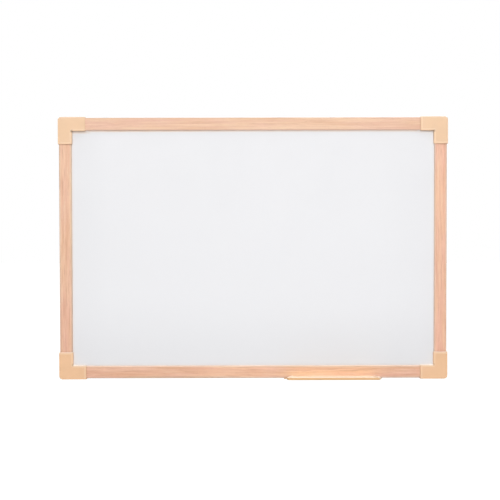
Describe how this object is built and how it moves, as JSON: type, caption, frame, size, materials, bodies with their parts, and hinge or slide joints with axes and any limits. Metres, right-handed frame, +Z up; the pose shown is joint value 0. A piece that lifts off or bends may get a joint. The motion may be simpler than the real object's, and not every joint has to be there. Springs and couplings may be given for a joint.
{
  "type": "whiteboard",
  "caption": "Wall-hung whiteboard: white writing surface in a wood-grain frame with beige plastic corner caps, keyhole hangers behind and a shallow plastic pen tray under the bottom rail.",
  "frame": {"origin": "on the wall plane, at the back face of the top rail, midway between the seats of the two keyhole hangers", "axes": "+Z up as the board hangs, +Y from the board into the wall, the writing surface faces -Y, +X to the right seen from the front"},
  "size_m": [0.9044, 0.0493, 0.6105],
  "materials": {
    "wood_foil": "satin wood-grain foil over a fibreboard moulding",
    "cream_plastic": "smooth moulded, low sheen",
    "white_laminate": "gloss writing laminate",
    "hardboard": "matt fibreboard",
    "zinc_plated_steel": "bright zinc"
  },
  "bodies": {
    "root": {"backing_board": "hardboard", "bottom_left_cap": "cream_plastic", "bottom_left_cap_screw_bottom": "zinc_plated_steel", "bottom_left_cap_screw_left": "zinc_plated_steel", "bottom_left_staple_1": "zinc_plated_steel", "bottom_left_staple_2": "zinc_plated_steel", "bottom_panel_point_1": "zinc_plated_steel", "bottom_panel_point_2": "zinc_plated_steel", "bottom_panel_point_3": "zinc_plated_steel", "bottom_panel_point_4": "zinc_plated_steel", "bottom_rail": "wood_foil", "bottom_right_cap": "cream_plastic", "bottom_right_cap_screw_bottom": "zinc_plated_steel", "bottom_right_cap_screw_right": "zinc_plated_steel", "bottom_right_staple_1": "zinc_plated_steel", "bottom_right_staple_2": "zinc_plated_steel", "left_hanger": "zinc_plated_steel", "left_hanger_screw_1": "zinc_plated_steel", "left_hanger_screw_2": "zinc_plated_steel", "left_panel_point_1": "zinc_plated_steel", "left_panel_point_2": "zinc_plated_steel", "left_rail": "wood_foil", "pen_tray": "cream_plastic", "right_hanger": "zinc_plated_steel", "right_hanger_screw_1": "zinc_plated_steel", "right_hanger_screw_2": "zinc_plated_steel", "right_panel_point_1": "zinc_plated_steel", "right_panel_point_2": "zinc_plated_steel", "right_rail": "wood_foil", "top_left_cap": "cream_plastic", "top_left_cap_screw_left": "zinc_plated_steel", "top_left_cap_screw_top": "zinc_plated_steel", "top_left_staple_1": "zinc_plated_steel", "top_left_staple_2": "zinc_plated_steel", "top_panel_point_1": "zinc_plated_steel", "top_panel_point_2": "zinc_plated_steel", "top_panel_point_3": "zinc_plated_steel", "top_panel_point_4": "zinc_plated_steel", "top_rail": "wood_foil", "top_right_cap": "cream_plastic", "top_right_cap_screw_right": "zinc_plated_steel", "top_right_cap_screw_top": "zinc_plated_steel", "top_right_staple_1": "zinc_plated_steel", "top_right_staple_2": "zinc_plated_steel", "tray_screw_1": "zinc_plated_steel", "tray_screw_2": "zinc_plated_steel", "tray_screw_3": "zinc_plated_steel", "writing_sheet": "white_laminate"}
  },
  "joints": []
}
